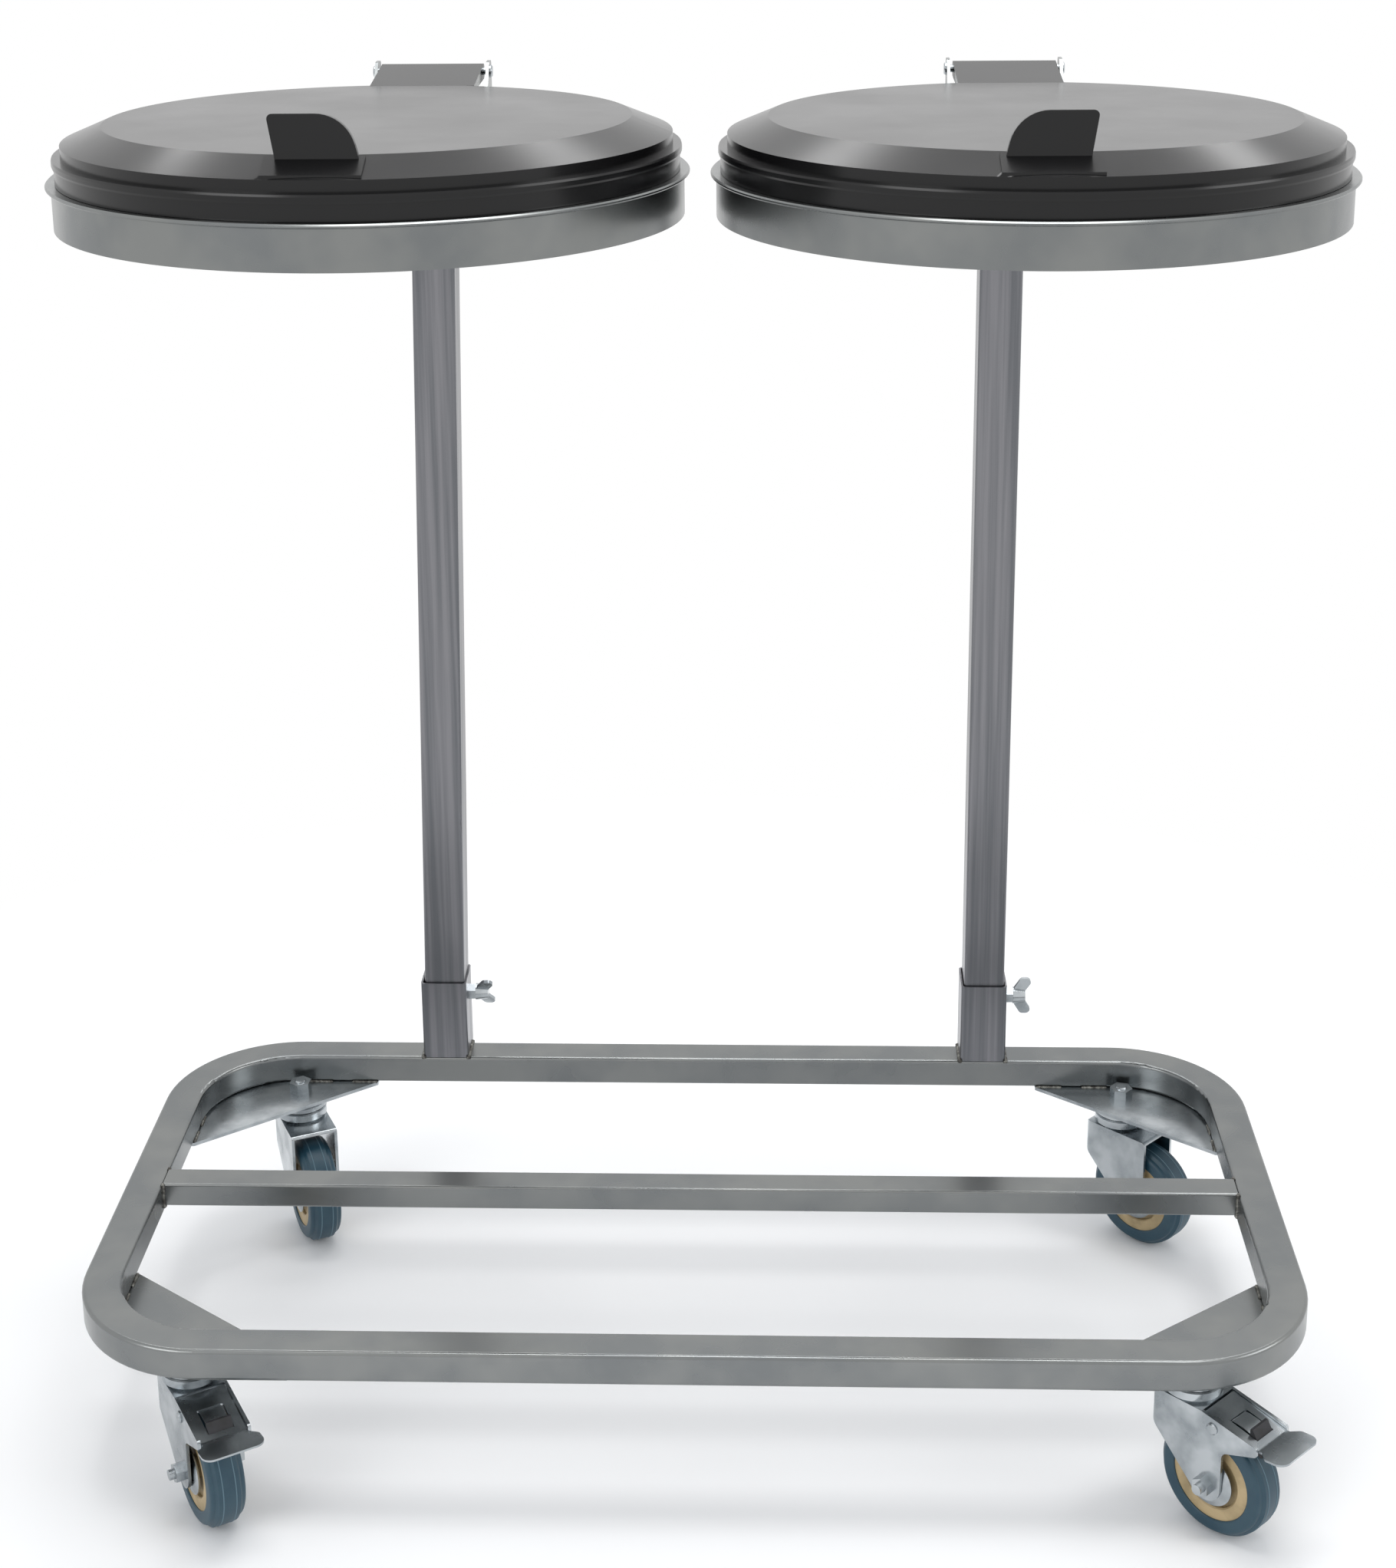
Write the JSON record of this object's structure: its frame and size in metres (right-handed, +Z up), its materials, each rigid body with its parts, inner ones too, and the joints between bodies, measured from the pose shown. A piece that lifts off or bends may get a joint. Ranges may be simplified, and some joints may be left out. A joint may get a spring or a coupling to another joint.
{
  "type": "bin bag holder",
  "caption": "Wheeled twin bin bag holder: bag hoops with hinged moulded lids on square posts, over a welded tube frame on swivel castors, the front ones braked.",
  "frame": {"origin": "on the floor, under the middle of the base frame", "axes": "+X to the right along the base's long side, +Y to the rear where the posts stand, +Z up"},
  "size_m": [0.941, 0.5385, 1.045],
  "materials": {
    "zinc_plated_steel": "satin zinc plating with faint drawn streaks",
    "post_steel": "satin, slightly warm grey",
    "bright_zinc": "bright zinc plating",
    "lid_plastic": "smooth moulded, slight sheen",
    "tyre_rubber": "matte blue-grey rubber",
    "hub_plastic": "matte moulded",
    "black_rubber": "matte black"
  },
  "bodies": {
    "base": {"base_loop": "zinc_plated_steel", "cross_bar": "zinc_plated_steel", "corner_plate_front_left": "zinc_plated_steel", "corner_plate_front_right": "zinc_plated_steel", "corner_plate_rear_left": "zinc_plated_steel", "corner_plate_rear_right": "zinc_plated_steel", "socket_left": "post_steel", "socket_right": "post_steel", "weld_nuts": "bright_zinc", "king_nuts": "bright_zinc", "castor_head_front_left": "bright_zinc", "castor_head_front_right": "bright_zinc", "castor_head_rear_left": "bright_zinc", "castor_head_rear_right": "bright_zinc", "king_bolt_front_left": "bright_zinc", "king_bolt_front_right": "bright_zinc", "king_bolt_rear_left": "bright_zinc", "king_bolt_rear_right": "bright_zinc"},
    "mast_left": {"post_left": "post_steel", "hoop_left": "zinc_plated_steel", "hinge_bracket_left": "zinc_plated_steel", "hinge_pin_left": "bright_zinc"},
    "cover_left": {"lid_left": "lid_plastic"},
    "clamp_left": {"wing_bolt_left": "bright_zinc"},
    "mast_right": {"post_right": "post_steel", "hoop_right": "zinc_plated_steel", "hinge_bracket_right": "zinc_plated_steel", "hinge_pin_right": "bright_zinc"},
    "cover_right": {"lid_right": "lid_plastic"},
    "clamp_right": {"wing_bolt_right": "bright_zinc"},
    "yoke_front_left": {"fork_front_left": "bright_zinc", "axle_bolt_front_left": "bright_zinc", "axle_nut_front_left": "bright_zinc", "thread_guards_front_left": "bright_zinc", "brake_pins_front_left": "bright_zinc"},
    "wheel_front_left": {"tyre_front_left": "tyre_rubber", "hub_front_left": "hub_plastic"},
    "brake_front_left": {"brake_pedal_front_left": "bright_zinc", "brake_cam_front_left": "black_rubber"},
    "yoke_front_right": {"fork_front_right": "bright_zinc", "axle_bolt_front_right": "bright_zinc", "axle_nut_front_right": "bright_zinc", "thread_guards_front_right": "bright_zinc", "brake_pins_front_right": "bright_zinc"},
    "wheel_front_right": {"tyre_front_right": "tyre_rubber", "hub_front_right": "hub_plastic"},
    "brake_front_right": {"brake_pedal_front_right": "bright_zinc", "brake_cam_front_right": "black_rubber"},
    "yoke_rear_left": {"fork_rear_left": "bright_zinc", "axle_bolt_rear_left": "bright_zinc", "axle_nut_rear_left": "bright_zinc", "thread_guards_rear_left": "bright_zinc"},
    "wheel_rear_left": {"tyre_rear_left": "tyre_rubber", "hub_rear_left": "hub_plastic"},
    "yoke_rear_right": {"fork_rear_right": "bright_zinc", "axle_bolt_rear_right": "bright_zinc", "axle_nut_rear_right": "bright_zinc", "thread_guards_rear_right": "bright_zinc"},
    "wheel_rear_right": {"tyre_rear_right": "tyre_rubber", "hub_rear_right": "hub_plastic"}
  },
  "joints": [
    {"name": "mast_left_lift", "type": "slide", "parent": "base", "child": "mast_left", "axis": [0.0227, 0, 0.9997], "range_m": [0, 0.07]},
    {"name": "lid_left_hinge", "type": "hinge", "parent": "mast_left", "child": "cover_left", "pos_m": [-0.21282, 0.238, 1.021], "axis": [-1, 0, 0], "range_deg": [0, 105]},
    {"name": "wing_bolt_left_turn", "type": "hinge", "parent": "base", "child": "clamp_left", "pos_m": [-0.201, 0.23, 0.208], "axis": [1, 0, 0], "continuous": true},
    {"name": "mast_right_lift", "type": "slide", "parent": "base", "child": "mast_right", "axis": [0, 0, 1], "range_m": [0, 0.07]},
    {"name": "lid_right_hinge", "type": "hinge", "parent": "mast_right", "child": "cover_right", "pos_m": [0.246, 0.238, 1.021], "axis": [-1, 0, 0], "range_deg": [0, 105]},
    {"name": "wing_bolt_right_turn", "type": "hinge", "parent": "base", "child": "clamp_right", "pos_m": [0.276, 0.23, 0.208], "axis": [1, 0, 0], "continuous": true},
    {"name": "castor_front_left_swivel", "type": "hinge", "parent": "base", "child": "yoke_front_left", "pos_m": [-0.373, -0.1985, 0.11], "axis": [0, 0, 1], "continuous": true},
    {"name": "wheel_front_left_roll", "type": "hinge", "parent": "yoke_front_left", "child": "wheel_front_left", "pos_m": [-0.35816, -0.22224, 0.046], "axis": [0.848, 0.5299, 0], "continuous": true},
    {"name": "brake_front_left_press", "type": "hinge", "parent": "yoke_front_left", "child": "brake_front_left", "pos_m": [-0.35604, -0.22564, 0.095], "axis": [0.848, 0.5299, 0], "range_deg": [0, 6]},
    {"name": "castor_front_right_swivel", "type": "hinge", "parent": "base", "child": "yoke_front_right", "pos_m": [0.373, -0.1985, 0.11], "axis": [0, 0, 1], "continuous": true},
    {"name": "wheel_front_right_roll", "type": "hinge", "parent": "yoke_front_right", "child": "wheel_front_right", "pos_m": [0.39314, -0.21795, 0.046], "axis": [0.6947, 0.7193, 0], "continuous": true},
    {"name": "brake_front_right_press", "type": "hinge", "parent": "yoke_front_right", "child": "brake_front_right", "pos_m": [0.39602, -0.22073, 0.095], "axis": [0.6947, 0.7193, 0], "range_deg": [0, 6]},
    {"name": "castor_rear_left_swivel", "type": "hinge", "parent": "base", "child": "yoke_rear_left", "pos_m": [-0.36, 0.195, 0.11], "axis": [0, 0, 1], "continuous": true},
    {"name": "wheel_rear_left_roll", "type": "hinge", "parent": "yoke_rear_left", "child": "wheel_rear_left", "pos_m": [-0.34817, 0.16962, 0.046], "axis": [0.9063, 0.4226, 0], "continuous": true},
    {"name": "castor_rear_right_swivel", "type": "hinge", "parent": "base", "child": "yoke_rear_right", "pos_m": [0.367, 0.195, 0.11], "axis": [0, 0, 1], "continuous": true},
    {"name": "wheel_rear_right_roll", "type": "hinge", "parent": "yoke_rear_right", "child": "wheel_rear_right", "pos_m": [0.38748, 0.1759, 0.046], "axis": [0.682, 0.7314, 0], "continuous": true}
  ]
}
